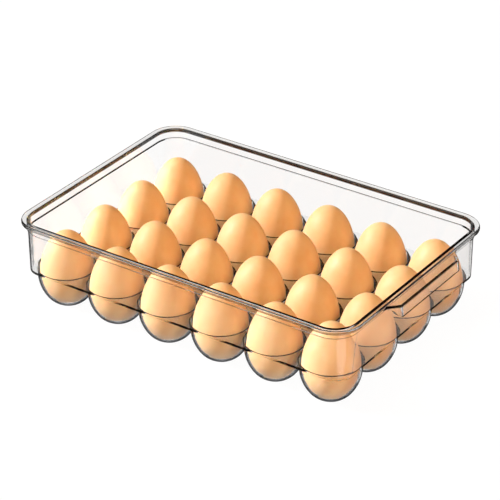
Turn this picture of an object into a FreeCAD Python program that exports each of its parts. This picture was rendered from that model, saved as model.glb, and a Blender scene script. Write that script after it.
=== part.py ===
import FreeCAD, Part
import math
import os

# A clear moulded refrigerator tray with a grid of round cups, and the eggs that stand in them.
# Lengths are in millimetres. The origin is under the middle of the whole part, on the plane
# that the cups' feet stand on. The pull handle is on the +X side.

# Grid of cups
PITCH = 50.0
COLUMNS = 6
ROWS = 4

# Cups: a drafted mouth, a side of a wide round and a nose of a tight one, with a small flat foot.
# The bowl follows the egg. Radii are of the outside, and the angles are below level.
CUP_DEPTH = 34.5
CUP_WALL = 1.5
CUP_NOSE_R = 22.0
CUP_SIDE_R = 35.3
CUP_NOSE_ANGLE = math.radians(34.3)
CUP_DRAFT = math.radians(1.5)
MOUTH_ROUND = 1.3
FOOT_R = 5.0
DECK_THICKNESS = 1.8

# Side walls, measured above the deck; half sizes are of the outside face
WALL_THICKNESS = 2.0
WALL_BASE = (150.6, 100.5)
WALL_BASE_CORNER = 15.0
WALL_SPLAY = 1.7
SHOULDER_HEIGHT = 34.5
SHOULDER_STEP = 0.5
SHOULDER_RISE = 0.6
WALL_TOP_CORNER = 20.0
BASE_EDGE_ROUND = 0.5

# Rim flange at the top of the walls
RIM_HEIGHT = 44.0
RIM_THICKNESS = 3.6
RIM_OVERHANG = 3.8
RIM_CORNER = 23.0
RIM_OUTER_ROUND = 1.5
RIM_INNER_ROUND = 0.8

# Pull handle: a lip that stands out from the rim, with a skirt turned down at its edge
HANDLE_REACH = 8.8
HANDLE_FLARE = 1.0
HANDLE_BELOW_RIM = 1.2
HANDLE_ROOT_HALF = 50.5
HANDLE_TIP_HALF = 42.0
HANDLE_CORNER = 4.5
HANDLE_ROOT_ROUND = 5.0
HANDLE_SKIRT = 2.0
HANDLE_DROP = 10.0
HANDLE_TOP_ROUND = 1.2

# Eggs: blunt end down in the cup, pointed end up
EGG_LENGTH = 63.4
EGG_WIDTH = 43.6
EGG_SHIFT = 4.2
EGG_CLEARANCE = 0.3
EGG_STATIONS = 17

OVERLAP = 1.0
BURIED = 0.3
FULL_TURN = 360.0

DECK_Z = CUP_DEPTH
RIM_Z = DECK_Z + RIM_HEIGHT
WALL_TOP = tuple(half + WALL_SPLAY + SHOULDER_STEP for half in WALL_BASE)
RIM_HALF = tuple(half + RIM_OVERHANG for half in WALL_TOP)
TRAY_X = -(HANDLE_REACH + HANDLE_FLARE) / 2


def point(x, y, z):
    return FreeCAD.Vector(x, y, z)


def line(start, end):
    return Part.LineSegment(start, end).toShape()


def arc(start, middle, end):
    return Part.Arc(start, middle, end).toShape()


def cup_centres():
    """Row, column and position of each cup's axis, from the front left cup."""
    for row in range(ROWS):
        for column in range(COLUMNS):
            x = TRAY_X + (column - (COLUMNS - 1) / 2) * PITCH
            y = (row - (ROWS - 1) / 2) * PITCH
            yield row + 1, column + 1, x, y


def rounded_outline(half, corner, z):
    """A rectangle with round corners, about the tray's middle, as one closed wire."""
    half_x, half_y = half
    edges = []
    ends = []
    for quarter in range(4):
        middle = math.radians(45 + 90 * quarter)
        centre_x = TRAY_X + math.copysign(half_x - corner, math.cos(middle))
        centre_y = math.copysign(half_y - corner, math.sin(middle))
        on_arc = []
        for angle in (middle - math.pi / 4, middle, middle + math.pi / 4):
            on_arc.append(
                point(centre_x + corner * math.cos(angle), centre_y + corner * math.sin(angle), z)
            )
        if ends:
            edges.append(line(ends[-1], on_arc[0]))
        else:
            first = on_arc[0]
        edges.append(arc(*on_arc))
        ends.append(on_arc[2])
    edges.append(line(ends[-1], first))
    return Part.Wire(edges)


def loft(*outlines):
    return Part.makeLoft(list(outlines), True, True)


def edges_at(shape, z):
    """The edges that lie flat at height z."""
    found = []
    for edge in shape.Edges:
        box = edge.BoundBox
        if abs(box.ZMin - z) < 0.01 and abs(box.ZMax - z) < 0.01:
            found.append(edge)
    return found


def wall_body(inset, bottom, top):
    """The solid inside the wall's outside face moved in by inset: a drafted part, then the shoulder."""
    base = tuple(half - inset for half in WALL_BASE)
    below = tuple(half + WALL_SPLAY for half in base)
    above = tuple(half + SHOULDER_STEP for half in below)
    shoulder = DECK_Z + SHOULDER_HEIGHT
    lower = loft(
        rounded_outline(base, WALL_BASE_CORNER - inset, bottom),
        rounded_outline(below, WALL_TOP_CORNER - inset, shoulder),
    )
    step = loft(
        rounded_outline(below, WALL_TOP_CORNER - inset, shoulder),
        rounded_outline(above, WALL_TOP_CORNER - inset, shoulder + SHOULDER_RISE),
    )
    upper = loft(
        rounded_outline(above, WALL_TOP_CORNER - inset, shoulder + SHOULDER_RISE),
        rounded_outline(above, WALL_TOP_CORNER - inset, top),
    )
    return lower.fuse([step, upper]).removeSplitter()


def rim_plate():
    """The flange as a full plate with its outer edges rounded, before the inside is cut out."""
    plate = loft(
        rounded_outline(RIM_HALF, RIM_CORNER, RIM_Z - RIM_THICKNESS),
        rounded_outline(RIM_HALF, RIM_CORNER, RIM_Z),
    )
    edges = edges_at(plate, RIM_Z) + edges_at(plate, RIM_Z - RIM_THICKNESS)
    return plate.makeFillet(RIM_OUTER_ROUND, edges)


def on_nose(inset, angle):
    """A point on the bowl's nose moved in by inset, at an angle below level."""
    radius = CUP_NOSE_R - inset
    centre_z = math.sqrt(CUP_NOSE_R**2 - FOOT_R**2)
    return point(radius * math.cos(angle), 0, centre_z - radius * math.sin(angle))


def on_side(inset, angle):
    """A point on the bowl's side moved in by inset. It runs into the nose without a corner."""
    step = CUP_SIDE_R - CUP_NOSE_R
    radius = CUP_SIDE_R - inset
    centre_x = -step * math.cos(CUP_NOSE_ANGLE)
    centre_z = math.sqrt(CUP_NOSE_R**2 - FOOT_R**2) + step * math.sin(CUP_NOSE_ANGLE)
    return point(centre_x + radius * math.cos(angle), 0, centre_z - radius * math.sin(angle))


def mouth_radius(inset, z):
    """Radius of the drafted mouth, moved in by inset, at height z."""
    touch = on_side(inset, CUP_DRAFT)
    return touch.x + (z - touch.z) * math.tan(CUP_DRAFT)


def bowl_edges(inset):
    """The bowl's profile moved in by inset, from the drafted mouth down to the axis."""
    floor_drop = math.sqrt(CUP_NOSE_R**2 - FOOT_R**2) - inset
    floor_angle = math.asin(floor_drop / (CUP_NOSE_R - inset))
    touch = on_side(inset, CUP_DRAFT)
    side_middle = on_side(inset, (CUP_DRAFT + CUP_NOSE_ANGLE) / 2)
    join = on_nose(inset, CUP_NOSE_ANGLE)
    nose_middle = on_nose(inset, (CUP_NOSE_ANGLE + floor_angle) / 2)
    floor_edge = on_nose(inset, floor_angle)
    return [
        arc(touch, side_middle, join),
        arc(join, nose_middle, floor_edge),
        line(floor_edge, point(0, 0, inset)),
    ]


def spin(edges):
    face = Part.Face(Part.Wire(edges))
    return face.revolve(point(0, 0, 0), point(0, 0, 1), FULL_TURN)


def cup_outside():
    """The outside of one cup, about the Z axis, from inside the deck down to its foot."""
    top_z = DECK_Z - DECK_THICKNESS / 2
    top_centre = point(0, 0, top_z)
    top = point(mouth_radius(0, top_z), 0, top_z)
    bowl = bowl_edges(0)
    return spin(
        [line(top_centre, top), line(top, on_side(0, CUP_DRAFT))]
        + bowl
        + [line(point(0, 0, 0), top_centre)]
    )


def cup_inside():
    """The hollow of one cup, about the Z axis, with the rounded edge of its mouth."""
    round_z = DECK_Z - MOUTH_ROUND
    round_x = mouth_radius(CUP_WALL, round_z) + MOUTH_ROUND / math.cos(CUP_DRAFT)
    over_z = DECK_Z + OVERLAP
    on_cone = point(
        round_x - MOUTH_ROUND * math.cos(CUP_DRAFT), 0, round_z + MOUTH_ROUND * math.sin(CUP_DRAFT)
    )
    half_angle = (math.pi / 2 + CUP_DRAFT) / 2
    on_round = point(
        round_x - MOUTH_ROUND * math.cos(half_angle), 0, round_z + MOUTH_ROUND * math.sin(half_angle)
    )
    on_deck = point(round_x, 0, DECK_Z)
    return spin(
        [
            line(point(0, 0, over_z), point(round_x, 0, over_z)),
            line(point(round_x, 0, over_z), on_deck),
            arc(on_deck, on_round, on_cone),
            line(on_cone, on_side(CUP_WALL, CUP_DRAFT)),
        ]
        + bowl_edges(CUP_WALL)
        + [line(point(0, 0, CUP_WALL), point(0, 0, over_z))]
    )


def handle_outline(grow, root_x, z):
    """Plan outline of the handle moved out by grow: tip, round corners, sides and root rounds."""
    rim_x = TRAY_X + RIM_HALF[0]
    slope = math.atan2(HANDLE_REACH, HANDLE_ROOT_HALF - HANDLE_TIP_HALF)
    half_slope = math.tan(slope / 2)
    edge_x = rim_x + HANDLE_REACH + grow
    edge_y = HANDLE_TIP_HALF + grow * half_slope
    corner = HANDLE_CORNER + grow
    corner_back = corner * half_slope
    root_line_x = rim_x - BURIED
    root_y = edge_y + (edge_x - root_line_x) / math.tan(slope)
    root_round = HANDLE_ROOT_ROUND - grow
    root_back = root_round * half_slope

    def at(angle, centre_x, centre_y, radius, side):
        x = centre_x + radius * math.cos(angle)
        y = centre_y + radius * math.sin(angle)
        return point(x, side * y, z)

    sides = []
    for side in (-1, 1):
        corner_arc = []
        for angle in (0, slope / 2, slope):
            corner_arc.append(at(angle, edge_x - corner, edge_y - corner_back, corner, side))
        root_arc = []
        for angle in (slope, slope / 2, 0):
            turned = angle + math.pi
            root_arc.append(
                at(turned, root_line_x + root_round, root_y + root_back, root_round, side)
            )
        root = point(root_x, root_arc[2].y, z)
        sides.append((corner_arc, root_arc, root))
    (low_corner, low_root_arc, low_root), (high_corner, high_root_arc, high_root) = sides
    return Part.Wire(
        [
            line(low_root, low_root_arc[2]),
            arc(*reversed(low_root_arc)),
            line(low_root_arc[0], low_corner[2]),
            arc(*reversed(low_corner)),
            line(low_corner[0], high_corner[0]),
            arc(*high_corner),
            line(high_corner[2], high_root_arc[0]),
            arc(*high_root_arc),
            line(high_root_arc[2], high_root),
            line(high_root, low_root),
        ]
    )


def skirt_trims():
    """Two cutters that raise the skirt's lower edge in a smooth step, from the tip back to the rim."""
    start_x = TRAY_X + RIM_HALF[0] - RIM_OVERHANG
    low_z = RIM_Z - HANDLE_BELOW_RIM - HANDLE_DROP
    high_z = RIM_Z - RIM_THICKNESS
    tip_y = HANDLE_TIP_HALF - HANDLE_CORNER / 2
    root_y = HANDLE_ROOT_HALF
    far_y = root_y + 4 * HANDLE_CORNER
    under_z = low_z - 2 * OVERLAP
    rise = high_z - low_z
    run = root_y - tip_y
    radius = (rise**2 + run**2) / (4 * rise)
    half_turn = math.atan2(rise, run)
    arc_y = radius * math.sin(half_turn)
    arc_z = radius * (1 - math.cos(half_turn))
    cutters = []
    for side in (-1, 1):
        foot = point(start_x, side * tip_y, low_z)
        lower = point(start_x, side * (tip_y + arc_y), low_z + arc_z)
        middle = point(start_x, side * (tip_y + root_y) / 2, (low_z + high_z) / 2)
        upper = point(start_x, side * (root_y - arc_y), high_z - arc_z)
        head = point(start_x, side * root_y, high_z)
        far_head = point(start_x, side * far_y, high_z)
        far_foot = point(start_x, side * far_y, under_z)
        near_foot = point(start_x, side * tip_y, under_z)
        outline = Part.Wire(
            [
                arc(foot, lower, middle),
                arc(middle, upper, head),
                line(head, far_head),
                line(far_head, far_foot),
                line(far_foot, near_foot),
                line(near_foot, foot),
            ]
        )
        cutters.append(Part.Face(outline).extrude(point(4 * HANDLE_REACH, 0, 0)))
    return cutters


def handle():
    """The pull lip with its down-turned skirt, open below and towards the wall for the fingers."""
    rim_x = TRAY_X + RIM_HALF[0]
    outer_root = rim_x - RIM_OVERHANG / 2
    inner_root = rim_x - RIM_OVERHANG
    top = RIM_Z - HANDLE_BELOW_RIM
    bottom = top - HANDLE_DROP
    block = loft(
        handle_outline(HANDLE_FLARE, outer_root, bottom),
        handle_outline(0, outer_root, top),
    )
    top_edges = []
    for edge in edges_at(block, top):
        if edge.BoundBox.XMax > outer_root + OVERLAP:
            top_edges.append(edge)
    block = block.makeFillet(HANDLE_TOP_ROUND, top_edges)
    pocket = loft(
        handle_outline(HANDLE_FLARE - HANDLE_SKIRT, inner_root, bottom - OVERLAP),
        handle_outline(-HANDLE_SKIRT, inner_root, RIM_Z - RIM_THICKNESS),
    )
    return block.cut([pocket] + skirt_trims())


def outer_form():
    """Everything filled in: the box of the walls with its flange, the handle and the cups' bowls."""
    underside = DECK_Z - DECK_THICKNESS
    walls = wall_body(0, underside, RIM_Z - OVERLAP)
    walls = walls.makeFillet(BASE_EDGE_ROUND, edges_at(walls, underside))
    bowl = cup_outside()
    bowls = []
    for _, _, x, y in cup_centres():
        bowls.append(bowl.translated(point(x, y, 0)))
    return walls.fuse([rim_plate(), handle()] + bowls)


def hollows():
    """The space between the walls, and the cups' hollows, which stop at the walls' inside face."""
    between_walls = wall_body(WALL_THICKNESS, DECK_Z, RIM_Z)
    floor_half = tuple(half - WALL_THICKNESS for half in WALL_BASE)
    floor_corner = WALL_BASE_CORNER - WALL_THICKNESS
    limit = loft(
        rounded_outline(floor_half, floor_corner, 0),
        rounded_outline(floor_half, floor_corner, DECK_Z + OVERLAP),
    )
    hollow = cup_inside()
    found = [between_walls]
    for row, column, x, y in cup_centres():
        placed = hollow.translated(point(x, y, 0))
        if row in (1, ROWS) or column in (1, COLUMNS):
            placed = placed.common(limit)
        found.append(placed)
    return found


def inner_rim_edges(body):
    """The edges round the mouth of the tray, at the top of the walls' inside face."""
    reach_x = WALL_TOP[0] - WALL_THICKNESS + OVERLAP / 2
    reach_y = WALL_TOP[1] - WALL_THICKNESS + OVERLAP / 2
    found = []
    for edge in edges_at(body, RIM_Z):
        box = edge.BoundBox
        far_x = max(abs(box.XMin - TRAY_X), abs(box.XMax - TRAY_X))
        far_y = max(abs(box.YMin), abs(box.YMax))
        if far_x < reach_x and far_y < reach_y:
            found.append(edge)
    return found


def tray():
    """The whole moulding: deck with cups, walls, rim and handle as one solid."""
    body = outer_form().cut(hollows()).removeSplitter()
    return body.makeFillet(RIM_INNER_ROUND, inner_rim_edges(body))


def egg():
    """One egg about the Z axis with its blunt end just clear of the cup's bottom."""
    bottom_z = CUP_WALL + EGG_CLEARANCE
    middle_z = bottom_z + EGG_LENGTH / 2
    places = []
    for station in range(EGG_STATIONS):
        along = -EGG_LENGTH / 2 * math.cos(math.pi * station / (EGG_STATIONS - 1))
        spread = EGG_LENGTH**2 - 4 * along**2
        taper = EGG_LENGTH**2 + 8 * EGG_SHIFT * along + 4 * EGG_SHIFT**2
        radius = EGG_WIDTH / 2 * math.sqrt(max(spread, 0) / taper)
        places.append(point(radius, 0, middle_z + along))
    curve = Part.BSplineCurve()
    curve.interpolate(places)
    return spin([curve.toShape(), line(places[-1], places[0])])


def main():
    os.makedirs("parts", exist_ok=True)
    pieces = {"tray": tray()}
    one_egg = egg()
    for row, column, x, y in cup_centres():
        pieces[f"egg_row{row}_col{column}"] = one_egg.translated(point(x, y, 0))
    for name, shape in pieces.items():
        if shape.ShapeType == "Compound" and len(shape.Solids) == 1:
            shape = shape.Solids[0]
        shape.exportStep(f"parts/{name}.step")
    whole = pieces["tray"]
    box = whole.BoundBox
    print(f"tray solids {len(whole.Solids)}, valid {whole.isValid()}, volume {whole.Volume:.0f} mm3")
    print(f"tray box x {box.XMin:.2f} {box.XMax:.2f}, y {box.YMin:.2f} {box.YMax:.2f}, "
          f"z {box.ZMin:.2f} {box.ZMax:.2f}")
    print(f"egg valid {one_egg.isValid()}, volume {one_egg.Volume:.0f} mm3, "
          f"top {one_egg.BoundBox.ZMax:.2f}, width {one_egg.BoundBox.XLength:.2f}")


main()
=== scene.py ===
# %% [markdown]
# # A clear refrigerator tray with its eggs
#
# The object is one injection moulding of clear plastic: a flat deck with a grid of round cups
# hanging from it, four upright walls, a flanged rim and a pull lip on one end. An egg stands in
# each cup. Almost everything that the eye reads as "clear plastic" is a thin dark or bright line
# at an edge, so the lesson is mostly about edges: their rounds, and what stands around the tray
# to be mirrored and bent in them.

# %% Load the frame
import math
import random

import bmesh
import bpy
from mathutils import Matrix, Vector


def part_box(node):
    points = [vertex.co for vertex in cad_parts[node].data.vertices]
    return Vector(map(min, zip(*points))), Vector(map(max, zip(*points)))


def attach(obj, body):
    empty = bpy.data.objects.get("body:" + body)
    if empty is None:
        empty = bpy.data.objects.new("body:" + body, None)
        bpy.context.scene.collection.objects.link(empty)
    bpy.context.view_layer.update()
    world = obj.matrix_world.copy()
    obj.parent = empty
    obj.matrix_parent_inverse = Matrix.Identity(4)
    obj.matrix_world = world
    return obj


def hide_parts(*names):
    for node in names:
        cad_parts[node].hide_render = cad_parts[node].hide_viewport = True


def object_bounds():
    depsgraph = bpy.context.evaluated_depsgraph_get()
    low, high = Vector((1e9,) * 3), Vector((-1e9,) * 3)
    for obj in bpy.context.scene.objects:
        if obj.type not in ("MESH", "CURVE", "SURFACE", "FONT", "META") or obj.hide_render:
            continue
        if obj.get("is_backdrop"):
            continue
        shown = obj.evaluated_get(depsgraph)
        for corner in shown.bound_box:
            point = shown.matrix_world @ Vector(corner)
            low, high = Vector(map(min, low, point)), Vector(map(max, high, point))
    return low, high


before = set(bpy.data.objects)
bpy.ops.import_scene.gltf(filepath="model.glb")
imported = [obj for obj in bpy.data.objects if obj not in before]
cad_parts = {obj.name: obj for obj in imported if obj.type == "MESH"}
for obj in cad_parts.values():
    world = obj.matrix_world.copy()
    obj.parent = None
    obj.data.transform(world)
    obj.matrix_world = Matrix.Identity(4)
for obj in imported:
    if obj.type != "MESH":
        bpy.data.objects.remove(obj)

MM = 0.001
cad_low, cad_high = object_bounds()
print("CAD box in mm:", [round(c / MM, 1) for c in (*cad_low, *cad_high)])

# %% [markdown]
# ## Helpers for materials
#
# A maker picks colours as sRGB hex values, and Blender mixes light in linear values, so one
# function turns the first into the second. Another one adds a node to a material, sets its
# values and links its inputs, which keeps each material short enough to read from top to bottom.
# It finds a socket by its name, or by its number where several sockets share one name.


# %% Colour helper
def linear(hex_colour):
    """sRGB hex, such as "E8A468", as linear red, green, blue and alpha."""
    channels = []
    for start in (0, 2, 4):
        value = int(hex_colour[start : start + 2], 16) / 255
        if value <= 0.04045:
            channels.append(value / 12.92)
        else:
            channels.append(((value + 0.055) / 1.055) ** 2.4)
    return (*channels, 1.0)


print("half grey in linear light:", round(linear("808080")[0], 3))


# %% Node helpers
def add_node(tree, kind, settings=None, inputs=None, links=None):
    """Adds a node, sets its properties and input values, and links its inputs to other sockets."""
    node = tree.nodes.new(kind)
    for name, value in (settings or {}).items():
        setattr(node, name, value)
    for socket, value in (inputs or {}).items():
        node.inputs[socket].default_value = value
    for socket, source in (links or {}).items():
        tree.links.new(source, node.inputs[socket])
    return node


def new_material(name):
    """An empty node material and its tree, with only the output node."""
    material = bpy.data.materials.new(name)
    material.use_nodes = True
    tree = material.node_tree
    tree.nodes.clear()
    output = add_node(tree, "ShaderNodeOutputMaterial")
    return material, tree, output


print("helpers: linear, add_node and new_material")

# %% [markdown]
# ## Clear styrene: the skin of the moulding
#
# The tray is clear polystyrene shot into a polished steel mould. The polish gives it a skin
# almost as smooth as a mirror. The wall shrinks a little as it cools, which leaves a slow
# waviness, and the mirrored lines wander with it. Real waves could be modelled in the mesh, but
# they are only a fiftieth of a millimetre deep, so a bump from a large, soft noise does as well.

# %% Shrinkage waves
SHRINK_WAVE = 30 * MM
SHRINK_DEPTH = 0.02 * MM
SHRINK_STRENGTH = 0.3

clear_styrene, tree, output = new_material("clear_styrene_injection_moulded")
place = add_node(tree, "ShaderNodeTexCoord")
shrink = add_node(
    tree,
    "ShaderNodeTexNoise",
    inputs={"Scale": 1 / SHRINK_WAVE, "Detail": 1.0, "Roughness": 0.4},
    links={"Vector": place.outputs["Object"]},
)
wavy = add_node(
    tree,
    "ShaderNodeBump",
    inputs={"Strength": SHRINK_STRENGTH, "Distance": SHRINK_DEPTH},
    links={"Height": shrink.outputs["Fac"]},
)
print("waves along the tray:", round((cad_high.x - cad_low.x) / SHRINK_WAVE))

# %% [markdown]
# ## Rounds seen edge-on
#
# Where a round turns away from the eye, the eye looks along the wall, through much more plastic
# than elsewhere, and the light there has been turned so often that little of it arrives. On a
# white table that reads as a thin dark line. The bending of the light alone leaves that line too
# pale, so the shader paints it darker: a painted shade in the base colour, laid on where the
# surface turns away. Layer Weight says how far a surface has turned away: its Facing is 0 where
# the surface faces the eye and 1 where it is seen edge-on.
#
# A flat wall seen at a flat angle would take the painted shade too, and a real one doesn't. The
# walls, the deck and the flange all face along one of the three axes, give or take their draft,
# so a mask keeps the painted shade off every surface that faces within about 8 degrees of an axis.

# %% How far the surface has turned away
EVEN_BLEND = 0.5
# Between these two values of Facing the painted shade on rounds fades in.
PAINTED_SHADE_FROM = 0.58
PAINTED_SHADE_FULL = 0.7

edge_on = add_node(
    tree,
    "ShaderNodeLayerWeight",
    inputs={"Blend": EVEN_BLEND},
    links={"Normal": wavy.outputs["Normal"]},
)
turned_away = add_node(
    tree,
    "ShaderNodeMapRange",
    inputs={"From Min": PAINTED_SHADE_FROM, "From Max": PAINTED_SHADE_FULL},
    links={"Value": edge_on.outputs["Facing"]},
)
print("tint from", round(math.degrees(math.acos(1 - PAINTED_SHADE_FROM))), "degrees off the normal")

# %% A mask for flat faces
ROUND_BELOW = 0.97
FLAT_ABOVE = 0.99

facets = add_node(
    tree,
    "ShaderNodeVectorMath",
    settings={"operation": "ABSOLUTE"},
    links={0: place.outputs["Normal"]},
)
axes = add_node(tree, "ShaderNodeSeparateXYZ", links={"Vector": facets.outputs["Vector"]})
sideways = add_node(
    tree,
    "ShaderNodeMath",
    settings={"operation": "MAXIMUM"},
    links={0: axes.outputs["X"], 1: axes.outputs["Y"]},
)
flatness = add_node(
    tree,
    "ShaderNodeMath",
    settings={"operation": "MAXIMUM"},
    links={0: sideways.outputs["Value"], 1: axes.outputs["Z"]},
)
not_flat = add_node(
    tree,
    "ShaderNodeMapRange",
    inputs={"From Min": ROUND_BELOW, "From Max": FLAT_ABOVE, "To Min": 1.0, "To Max": 0.0},
    links={"Value": flatness.outputs["Value"]},
)
# Where the painted shade on rounds goes: turned away from the eye, and not a flat face.
painted_round_shade = add_node(
    tree,
    "ShaderNodeMath",
    settings={"operation": "MULTIPLY"},
    links={0: turned_away.outputs["Result"], 1: not_flat.outputs["Result"]},
)
print("flat within", round(math.degrees(math.acos(FLAT_ABOVE))), "degrees of an axis")

# %% [markdown]
# ## The edge of the flange
#
# The flange is the thickest plastic on the tray, and its upright edge is seen from every side.
# The eye looks through it along the whole width of the rim there, so it is dark at every angle
# and not only edge-on. That darkness is a painted shade in the base colour, laid on by place:
# above the flange's underside, on faces that stand more or less upright. A second material on
# those faces would do as well, but it would need a list of faces, and this way follows the
# tray's own height.

# %% Flange edge
FLANGE_THICKNESS = 3.6 * MM
FLANGE_FADE = 0.6 * MM
# How much painted shade the flange's upright edge takes, at most.
FLANGE_PAINTED_SHADE_SHARE = 0.75
UPRIGHT_BELOW = 0.3
LEVEL_ABOVE = 0.6

tray_low, tray_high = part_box("tray")
flange_underside = tray_high.z - FLANGE_THICKNESS
height = add_node(tree, "ShaderNodeSeparateXYZ", links={"Vector": place.outputs["Object"]})
in_flange = add_node(
    tree,
    "ShaderNodeMapRange",
    inputs={"From Min": flange_underside, "From Max": flange_underside + FLANGE_FADE},
    links={"Value": height.outputs["Z"]},
)
upright = add_node(
    tree,
    "ShaderNodeMapRange",
    inputs={
        "From Min": UPRIGHT_BELOW,
        "From Max": LEVEL_ABOVE,
        "To Min": FLANGE_PAINTED_SHADE_SHARE,
        "To Max": 0.0,
    },
    links={"Value": axes.outputs["Z"]},
)
# Painted shade on the flange's upright edge, then the larger of it and the painted shade on
# rounds.
painted_flange_shade = add_node(
    tree,
    "ShaderNodeMath",
    settings={"operation": "MULTIPLY"},
    links={0: in_flange.outputs["Result"], 1: upright.outputs["Result"]},
)
any_painted_edge_shade = add_node(
    tree,
    "ShaderNodeMath",
    settings={"operation": "MAXIMUM"},
    links={0: painted_round_shade.outputs["Value"], 1: painted_flange_shade.outputs["Value"]},
)
print("flange from", round(flange_underside / MM, 1), "mm up")

# %% [markdown]
# ## The body of the plastic
#
# Styrene bends light strongly (IOR 1.59), and a Principled shader with full transmission does
# that. A Glass shader would do too, but only the Principled one has a tint for its mirror
# reflections, which keeps the highlights from washing out the eggs behind them.
#
# Light reaches the eggs through the tray. A path tracer finds that hard, because a ray to a lamp
# would have to be bent just right, so a ray on its way to a lamp goes straight on, as through a
# clear film. The price is that the tray throws no shadow of its own. Last comes the faint warm
# grey of the plastic itself, which builds up with depth, so it is an absorbing volume.

# %% Body of the moulding
STYRENE_IOR = 1.59
STYRENE_TINT = "FFFFFF"
# The near-black of the painted shade for the dark lines at edges. It is not a colour of the
# plastic.
STYRENE_PAINTED_EDGE_SHADE = "14161A"
MIRROR_TINT = "959595"
POLISHED_MOULD_ROUGHNESS = 0.015

# A Mix node has sockets for several types of data. These are its two colours and their result.
FIRST_COLOUR = 6
SECOND_COLOUR = 7
MIXED_COLOUR = 2

# The base colour goes from clear to the painted edge shade where the masks say.
painted_edge_shade = add_node(
    tree,
    "ShaderNodeMix",
    settings={"data_type": "RGBA"},
    inputs={FIRST_COLOUR: linear(STYRENE_TINT), SECOND_COLOUR: linear(STYRENE_PAINTED_EDGE_SHADE)},
    links={"Factor": any_painted_edge_shade.outputs["Value"]},
)
body = add_node(
    tree,
    "ShaderNodeBsdfPrincipled",
    inputs={
        "Roughness": POLISHED_MOULD_ROUGHNESS,
        "IOR": STYRENE_IOR,
        "Specular Tint": linear(MIRROR_TINT),
        "Transmission Weight": 1.0,
    },
    links={"Base Color": painted_edge_shade.outputs[MIXED_COLOUR], "Normal": wavy.outputs["Normal"]},
)
print("styrene bends light by an IOR of", STYRENE_IOR)

# %% Light that falls through, and colour in depth
STYRENE_FILM = "FFFFFF"
STYRENE_DEPTH_TINT = "8A8076"
STYRENE_DENSITY = 30.0

film = add_node(tree, "ShaderNodeBsdfTransparent", inputs={"Color": linear(STYRENE_FILM)})
path = add_node(tree, "ShaderNodeLightPath")
plastic = add_node(
    tree,
    "ShaderNodeMixShader",
    links={
        "Fac": path.outputs["Is Shadow Ray"],
        1: body.outputs["BSDF"],
        2: film.outputs["BSDF"],
    },
)
depth = add_node(
    tree,
    "ShaderNodeVolumeAbsorption",
    inputs={"Color": linear(STYRENE_DEPTH_TINT), "Density": STYRENE_DENSITY},
)
tree.links.new(plastic.outputs["Shader"], output.inputs["Surface"])
tree.links.new(depth.outputs["Volume"], output.inputs["Volume"])
print("made", clear_styrene.name, "with", len(tree.nodes), "nodes")

# %% The tray takes the styrene
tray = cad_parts["tray"]
tray.data.materials.clear()
tray.data.materials.append(clear_styrene)
print("tray faces:", len(tray.data.polygons))

# %% [markdown]
# ## Brown eggshell
#
# A brown egg is chalk-like calcite with a thin pigmented skin. It is matt with a soft sheen,
# because fine pores scatter the light, and the light that enters comes out again a little way
# off, so shadows on it have soft warm edges. The pigment lies unevenly: slow clouds of it, and
# some fine specks. All of that is noise at three sizes: clouds of 15 mm, specks of 1.2 mm and
# pores of 0.5 mm, which are drawn a little larger than real ones so that they show at all. An
# image could hold all that, but it would have to be wrapped round each egg, and it would stretch
# at the ends. Noise in the egg's own space doesn't. Each egg's own random number shifts its
# clouds, so one material serves all the eggs.

# %% Clouds of pigment
SHELL_PALE = "EFC592"
SHELL_BROWN = "E7B47E"
CLOUD = 15 * MM
PALE_BELOW = 0.3
BROWN_ABOVE = 0.75

eggshell, tree, output = new_material("brown_eggshell_natural")
place = add_node(tree, "ShaderNodeTexCoord")
own = add_node(tree, "ShaderNodeObjectInfo")
clouds = add_node(
    tree,
    "ShaderNodeTexNoise",
    settings={"noise_dimensions": "4D"},
    inputs={"Scale": 1 / CLOUD, "Detail": 3.0, "Roughness": 0.5},
    links={"Vector": place.outputs["Object"], "W": own.outputs["Random"]},
)
cloud_range = add_node(
    tree,
    "ShaderNodeMapRange",
    inputs={"From Min": PALE_BELOW, "From Max": BROWN_ABOVE},
    links={"Value": clouds.outputs["Fac"]},
)
pigment = add_node(
    tree,
    "ShaderNodeMix",
    settings={"data_type": "RGBA"},
    inputs={FIRST_COLOUR: linear(SHELL_PALE), SECOND_COLOUR: linear(SHELL_BROWN)},
    links={"Factor": cloud_range.outputs["Result"]},
)
print("pigment from", SHELL_PALE, "to", SHELL_BROWN)

# %% Specks
SHELL_SPECK = "D49A6A"
SPECK = 1.2 * MM
SPECK_FROM = 0.66
SPECK_FULL = 0.8
SPECK_SHARE = 0.35

specks = add_node(
    tree,
    "ShaderNodeTexNoise",
    inputs={"Scale": 1 / SPECK, "Detail": 2.0},
    links={"Vector": place.outputs["Object"]},
)
speck_range = add_node(
    tree,
    "ShaderNodeMapRange",
    inputs={"From Min": SPECK_FROM, "From Max": SPECK_FULL, "To Max": SPECK_SHARE},
    links={"Value": specks.outputs["Fac"]},
)
speckled = add_node(
    tree,
    "ShaderNodeMix",
    settings={"data_type": "RGBA"},
    inputs={SECOND_COLOUR: linear(SHELL_SPECK)},
    links={
        "Factor": speck_range.outputs["Result"],
        FIRST_COLOUR: pigment.outputs[MIXED_COLOUR],
    },
)
print("specks of", SHELL_SPECK)

# %% Pores and an uneven sheen
PORE = 0.5 * MM
PORE_DEPTH = 0.03 * MM
PORE_STRENGTH = 0.25
EGGSHELL_ROUGHNESS = 0.6
SMOOTHER_BY = 0.05
ROUGHER_BY = 0.07
SMOOTH_BELOW = 0.3
ROUGH_ABOVE = 0.7

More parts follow.
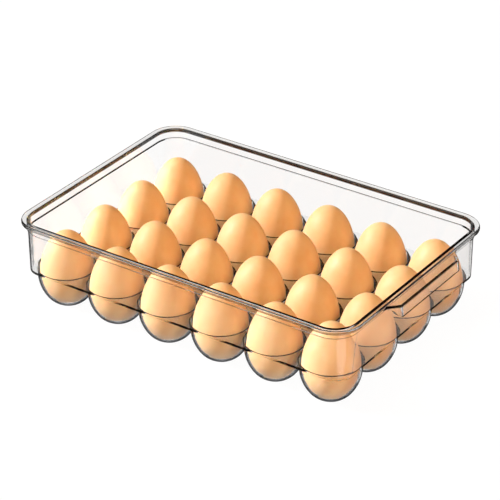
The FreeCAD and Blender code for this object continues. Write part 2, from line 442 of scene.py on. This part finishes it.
pores = add_node(
    tree,
    "ShaderNodeTexVoronoi",
    inputs={"Scale": 1 / PORE},
    links={"Vector": place.outputs["Object"]},
)
pitted = add_node(
    tree,
    "ShaderNodeBump",
    inputs={"Strength": PORE_STRENGTH, "Distance": PORE_DEPTH},
    links={"Height": pores.outputs["Distance"]},
)
sheen_range = add_node(
    tree,
    "ShaderNodeMapRange",
    inputs={
        "From Min": SMOOTH_BELOW,
        "From Max": ROUGH_ABOVE,
        "To Min": EGGSHELL_ROUGHNESS - SMOOTHER_BY,
        "To Max": EGGSHELL_ROUGHNESS + ROUGHER_BY,
    },
    links={"Value": clouds.outputs["Fac"]},
)
print("pores of", PORE / MM, "mm, roughness about", EGGSHELL_ROUGHNESS)

# %% Shell that scatters light
EGGSHELL_IOR = 1.55
SCATTER_SHARE = 0.3
SCATTER_DEPTH = 3 * MM
RED_GOES_FURTHEST = (1.0, 0.4, 0.15)

shell = add_node(
    tree,
    "ShaderNodeBsdfPrincipled",
    inputs={
        "IOR": EGGSHELL_IOR,
        "Subsurface Weight": SCATTER_SHARE,
        "Subsurface Radius": RED_GOES_FURTHEST,
        "Subsurface Scale": SCATTER_DEPTH,
    },
    links={
        "Base Color": speckled.outputs[MIXED_COLOUR],
        "Roughness": sheen_range.outputs["Result"],
        "Normal": pitted.outputs["Normal"],
    },
)
tree.links.new(shell.outputs["BSDF"], output.inputs["Surface"])
print("made", eggshell.name, "with", len(tree.nodes), "nodes")

# %% [markdown]
# ## The eggs
#
# An egg is a surface of revolution, so it could be a sphere pulled into shape or a lathe. A lathe
# of the egg curve is exact: one formula gives the radius at each height from the egg's length,
# its width, and how far the widest place lies below the middle. The rings are spaced evenly by
# angle, so they crowd where the curve is tight, at both ends. No two eggs are alike, so each one
# gets a slightly different width, leans its widest place up or down a little and is a touch out
# of round. It always stays inside the room that its cup leaves it.

# %% Egg curve
EGG_SHIFT = 4.2 * MM


def egg_radius(along, length, width, shift):
    """Radius of an egg at a height above its middle."""
    inside = length**2 - 4 * along**2
    taper = length**2 + 8 * shift * along + 4 * shift**2
    return width / 2 * math.sqrt(max(inside, 0) / taper)


print("an egg is widest", round(EGG_SHIFT / MM, 1), "mm below its middle, give or take a little")


# %% Egg mesh
EGG_RINGS = 56
EGG_SIDES = 72


def egg_mesh(name, length, width, shift, out_of_round, turn):
    """A closed lathe of the egg curve about the Z axis, standing on its blunt end at z = 0."""
    shape = bmesh.new()
    bottom = shape.verts.new((0, 0, 0))
    rings = []
    for ring in range(1, EGG_RINGS):
        along = -length / 2 * math.cos(math.pi * ring / EGG_RINGS)
        radius = egg_radius(along, length, width, shift)
        corners = []
        for side in range(EGG_SIDES):
            angle = math.tau * side / EGG_SIDES
            stretched = radius * (1 - out_of_round * (1 + math.cos(2 * (angle - turn))) / 2)
            corner = (stretched * math.cos(angle), stretched * math.sin(angle), along + length / 2)
            corners.append(shape.verts.new(corner))
        rings.append(corners)
    top = shape.verts.new((0, 0, length))
    for side in range(EGG_SIDES):
        after = (side + 1) % EGG_SIDES
        shape.faces.new((bottom, rings[0][after], rings[0][side]))
        for low, high in zip(rings, rings[1:]):
            shape.faces.new((low[side], low[after], high[after], high[side]))
        shape.faces.new((rings[-1][side], rings[-1][after], top))
    for face in shape.faces:
        face.smooth = True
    mesh = bpy.data.meshes.new(name)
    shape.to_mesh(mesh)
    shape.free()
    return mesh


# %% An egg for each cup
EGG_SEED = 24
WIDTH_SPREAD = 0.012
LENGTH_SPREAD = 0.010
SHIFT_SPREAD = 0.5 * MM
ROUNDNESS_SPREAD = 0.008

chance = random.Random(EGG_SEED)
egg_nodes = sorted(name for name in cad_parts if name.startswith("egg_"))
for name in egg_nodes:
    low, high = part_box(name)
    length = (high.z - low.z) * (1 - LENGTH_SPREAD * chance.random())
    width = (high.x - low.x) * (1 - WIDTH_SPREAD * chance.random())
    shift = EGG_SHIFT + SHIFT_SPREAD * (chance.random() - 0.5)
    out_of_round = ROUNDNESS_SPREAD * chance.random()
    turn = math.pi * chance.random()
    mesh = egg_mesh(name + "_shell", length, width, shift, out_of_round, turn)
    mesh.materials.append(eggshell)
    egg = bpy.data.objects.new(name + "_shell", mesh)
    egg.location = ((low.x + high.x) / 2, (low.y + high.y) / 2, low.z)
    bpy.context.scene.collection.objects.link(egg)
    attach(egg, name)
    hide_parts(name)
print("eggs:", len(egg_nodes), "the last", round(length / MM, 1), "by", round(width / MM, 1), "mm")

# %% [markdown]
# ## The light table
#
# The tray stands on a light table, which is a sheet of opal acrylic lit from below. It is the
# usual ground for clear plastic, because the walls stay white on it and the edges turn dark. A
# plain glowing sheet has three faults, though. The plastic mirrors it as a white haze over the
# eggs, it fills the edges with white at every angle, and it lights the eggs from below as
# strongly as the lamps do from above.
#
# A studio cures these with a louvred film, which lets light out steeply only, and with black
# cards. Here Light Path tells how a ray came to the table, and each kind finds its own glow:
# plain white for the camera and for steep rays through the plastic, a weak warm glow for the
# eggs, and next to nothing for mirror reflections and flat rays. It is a stand-in for the film
# and the cards, not an exact copy of their optics.

# %% Opal acrylic with a fine grain
OPAL_GRAIN = 2 * MM
OPAL_GRAIN_DEPTH = 0.02 * MM
OPAL_GRAIN_STRENGTH = 0.05

opal_acrylic, tree, output = new_material("white_light_table_opal_acrylic")
place = add_node(tree, "ShaderNodeTexCoord")
path = add_node(tree, "ShaderNodeLightPath")
grain = add_node(
    tree,
    "ShaderNodeTexNoise",
    inputs={"Scale": 1 / OPAL_GRAIN},
    links={"Vector": place.outputs["Object"]},
)
grainy = add_node(
    tree,
    "ShaderNodeBump",
    inputs={"Strength": OPAL_GRAIN_STRENGTH, "Distance": OPAL_GRAIN_DEPTH},
    links={"Height": grain.outputs["Fac"]},
)
print("opal grain of", OPAL_GRAIN / MM, "mm")

# %% Louvred film: steep rays see the light, flat ones don't
LIT_ABOVE = 14.0
DARK_BELOW = 11.5


def facing_at(slope):
    """What Layer Weight's Facing says of a level surface seen at a slope in degrees."""
    return 1 - math.sin(math.radians(slope))


slant = add_node(tree, "ShaderNodeLayerWeight", inputs={"Blend": EVEN_BLEND})
louvres = add_node(
    tree,
    "ShaderNodeMapRange",
    inputs={
        "From Min": facing_at(LIT_ABOVE),
        "From Max": facing_at(DARK_BELOW),
        "To Min": 1.0,
        "To Max": 0.0,
    },
    links={"Value": slant.outputs["Facing"]},
)
seen_white = add_node(
    tree,
    "ShaderNodeMath",
    settings={"operation": "MULTIPLY_ADD", "use_clamp": True},
    links={
        0: path.outputs["Is Transmission Ray"],
        1: louvres.outputs["Result"],
        2: path.outputs["Is Camera Ray"],
    },
)
print("film open above", LIT_ABOVE, "degrees, shut below", DARK_BELOW)

# %% [markdown]
# ### A soft box for the highlight
#
# The front corner of the tray carries one upright highlight. It is a mirror image of a small
# soft box, and all that matters is where the mirrored rays end. They end on the table, beside
# the tray, so a soft round spot there glows for mirror reflections only. A real lamp in the same
# place would be seen by the camera and would light the eggs from below.

# %% Soft box in the mirror reflections
SOFTBOX_SPOT = (224 * MM, -136 * MM, 0.0)
SOFTBOX_HALF = 30 * MM
SOFTBOX_BLUR = 15 * MM
SOFTBOX_GLOW = 6.0
TABLE_GLOW_IN_MIRRORS = 0.03

from_softbox = add_node(
    tree,
    "ShaderNodeVectorMath",
    settings={"operation": "DISTANCE"},
    inputs={1: SOFTBOX_SPOT},
    links={0: place.outputs["Object"]},
)
softbox = add_node(
    tree,
    "ShaderNodeMapRange",
    inputs={
        "From Min": SOFTBOX_HALF,
        "From Max": SOFTBOX_HALF + SOFTBOX_BLUR,
        "To Min": SOFTBOX_GLOW,
        "To Max": TABLE_GLOW_IN_MIRRORS,
    },
    links={"Value": from_softbox.outputs["Value"]},
)
print("soft box", round((SOFTBOX_SPOT[0] - tray_high.x) / MM), "mm beyond the end of the tray")

# %% Glow for each kind of ray
TABLE_GLOW = 0.97
TABLE_GLOW_ON_EGGS = 0.36

glow_or_mirror = add_node(
    tree,
    "ShaderNodeMapRange",
    inputs={"To Max": TABLE_GLOW},
    links={"Value": seen_white.outputs["Value"], "To Min": softbox.outputs["Result"]},
)
table_glow = add_node(
    tree,
    "ShaderNodeMapRange",
    inputs={"To Max": TABLE_GLOW_ON_EGGS},
    links={
        "Value": path.outputs["Is Diffuse Ray"],
        "To Min": glow_or_mirror.outputs["Result"],
    },
)
print("table glow:", TABLE_GLOW, "and", TABLE_GLOW_ON_EGGS, "on the eggs")

# %% Opal sheet
TABLE_WHITE = "FFFFFF"
TABLE_WARMTH = "FFC27C"
OPAL_BODY = "383838"
OPAL_ROUGHNESS = 0.9

table_colour = add_node(
    tree,
    "ShaderNodeMix",
    settings={"data_type": "RGBA"},
    inputs={FIRST_COLOUR: linear(TABLE_WHITE), SECOND_COLOUR: linear(TABLE_WARMTH)},
    links={"Factor": path.outputs["Is Diffuse Ray"]},
)
opal = add_node(
    tree,
    "ShaderNodeBsdfPrincipled",
    inputs={
        "Base Color": linear(OPAL_BODY),
        "Roughness": OPAL_ROUGHNESS,
        "Specular IOR Level": 0.0,
    },
    links={
        "Normal": grainy.outputs["Normal"],
        "Emission Color": table_colour.outputs[MIXED_COLOUR],
        "Emission Strength": table_glow.outputs["Result"],
    },
)
tree.links.new(opal.outputs["BSDF"], output.inputs["Surface"])
print("made", opal_acrylic.name, "with", len(tree.nodes), "nodes")

# %% Table top
FLOOR_HALF = 6.0
FLOOR_GAP = 0.2 * MM

floor_signs = ((-1, -1), (1, -1), (1, 1), (-1, 1))
floor_corners = [(x * FLOOR_HALF, y * FLOOR_HALF, 0) for x, y in floor_signs]
floor_mesh = bpy.data.meshes.new("floor")
floor_mesh.from_pydata(floor_corners, [], [(0, 1, 2, 3)])
floor_mesh.materials.append(opal_acrylic)
floor = bpy.data.objects.new("floor", floor_mesh)
floor.location.z = cad_low.z - FLOOR_GAP
bpy.context.scene.collection.objects.link(floor)
floor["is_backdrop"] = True
print("table", 2 * FLOOR_HALF, "m square,", FLOOR_GAP / MM, "mm below the cups")

# %% [markdown]
# ## The room
#
# A clear moulding shows what stands around it. In a white room its edges would be white on
# white, so the room is dark from the horizon up to 46 degrees, and the rounds bend and mirror
# that into their dark lines. Above 72 degrees there is warm light, which lies on the tops of the
# eggs, and in between the one fades into the other. Cards and lamps could be built for it, but a
# ramp over the sky is even all round. The world's direction gives the height: its Z is the sine
# of the angle above the horizon. The camera sees plain white past the end of the table.

# %% Dark studio with light overhead
SINE_OF_DARK = 0.72
SINE_OF_LIGHT = 0.95
# These two are light, not paint, so they are linear amounts of red, green and blue.
ROOM_DARK = (0.02, 0.02, 0.02, 1.0)
ROOM_OVERHEAD = (1.0, 0.85, 0.65, 1.0)
BACKDROP_WHITE = "FFFFFF"

world = bpy.data.worlds.new("studio")
bpy.context.scene.world = world
world.use_nodes = True
tree = world.node_tree
tree.nodes.clear()
output = add_node(tree, "ShaderNodeOutputWorld")
place = add_node(tree, "ShaderNodeTexCoord")
upward = add_node(tree, "ShaderNodeSeparateXYZ", links={"Vector": place.outputs["Generated"]})
ramp = add_node(tree, "ShaderNodeValToRGB", links={"Fac": upward.outputs["Z"]})
dark_end, light_end = ramp.color_ramp.elements
dark_end.position, dark_end.color = SINE_OF_DARK, ROOM_DARK
light_end.position, light_end.color = SINE_OF_LIGHT, ROOM_OVERHEAD
print("dark up to", round(math.degrees(math.asin(SINE_OF_DARK))), "degrees above the horizon")

# %% Room for the plastic, white for the camera
room = add_node(tree, "ShaderNodeBackground", links={"Color": ramp.outputs["Color"]})
backdrop = add_node(tree, "ShaderNodeBackground", inputs={"Color": linear(BACKDROP_WHITE)})
path = add_node(tree, "ShaderNodeLightPath")
surroundings = add_node(
    tree,
    "ShaderNodeMixShader",
    links={
        "Fac": path.outputs["Is Camera Ray"],
        1: room.outputs["Background"],
        2: backdrop.outputs["Background"],
    },
)
tree.links.new(surroundings.outputs["Shader"], output.inputs["Surface"])
print("made the world", world.name)

# %% [markdown]
# ## Lamps
#
# Three soft lamps give the eggs their round shape: a white key from the left, a broad warm fill
# from the viewer's side, and a warmer, weaker one from the right that colours the shaded cheeks.
# Area lamps near the tray would light its near eggs more than its far ones. Lamps of the sun
# type light them all alike, and their angle sets how soft a shadow is: 6 degrees for the key
# gives shadows with a clear edge, and 40 to 50 degrees gives hardly any.


# %% Directions round the tray
def back_towards(azimuth, elevation):
    """The direction from the tray to a viewer or lamp, from angles in degrees."""
    around = math.radians(azimuth)
    up = math.radians(elevation)
    level = math.cos(up)
    return Vector((math.sin(around) * level, -math.cos(around) * level, math.sin(up)))


print("the front is towards", [round(part, 1) for part in back_towards(0, 0)])


# %% Three lamps
def far_lamp(name, azimuth, elevation, wide, strength, colour):
    """A soft lamp so far off that it lights all of the table evenly."""
    data = bpy.data.lights.new(name, "SUN")
    data.angle = math.radians(wide)
    data.energy = strength
    data.color = linear(colour)[:3]
    lamp = bpy.data.objects.new(name, data)
    lamp.rotation_mode = "QUATERNION"
    lamp.rotation_quaternion = (-back_towards(azimuth, elevation)).to_track_quat("-Z", "Y")
    bpy.context.scene.collection.objects.link(lamp)
    print(name, "at", azimuth, "degrees round and", elevation, "up, strength", strength)


far_lamp("key_lamp", azimuth=-62, elevation=30, wide=6, strength=4.4, colour="FFFFFF")
far_lamp("front_fill_lamp", azimuth=30, elevation=45, wide=50, strength=1.3, colour="FFDCA8")
far_lamp("warm_fill_lamp", azimuth=110, elevation=15, wide=40, strength=0.75, colour="FFAC58")

# %% [markdown]
# ## Camera
#
# The view is from the front right and above, with a long lens from almost two metres off. A
# short lens close by would make the near corner of the tray bulge. From far away its long sides
# stay nearly parallel, as in a catalogue. The camera aims at a point just above the deck.

# %% Camera
AZIMUTH = 34.65
ELEVATION = 29.65
ROLL = -0.27
LENS = 175.5
DISTANCE = 1929.3 * MM
DECK_HEIGHT = 34.5 * MM
AIM_ABOVE_DECK = 17.6 * MM
AIM_LEFT_OF_MIDDLE = 4.9 * MM

middle = (tray_low.x + tray_high.x) / 2
aim = Vector((middle - AIM_LEFT_OF_MIDDLE, 0, DECK_HEIGHT + AIM_ABOVE_DECK))
back = back_towards(AZIMUTH, ELEVATION)
camera_data = bpy.data.cameras.new("camera")
camera_data.lens = LENS
camera = bpy.data.objects.new("camera", camera_data)
camera.location = aim + back * DISTANCE
camera.rotation_mode = "QUATERNION"
camera.rotation_quaternion = (-back).to_track_quat("-Z", "Y")
camera.rotation_quaternion @= Matrix.Rotation(math.radians(ROLL), 4, "Z").to_quaternion()
bpy.context.scene.collection.objects.link(camera)
bpy.context.scene.camera = camera
bpy.context.scene.view_settings.view_transform = "Standard"
print("camera", round(camera.location.z / MM), "mm up, with a", LENS, "mm lens")

# %% [markdown]
# ## Size and finish
#
# The box of everything visible is printed, to set beside the box of the CAD model printed at the
# start. Looks must not change the size of the object. The eggs and the tray are meant to stay
# inside it.

# %% Size and finish
low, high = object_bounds()
print("visual box in mm:", [round(c / MM, 1) for c in (*low, *high)])
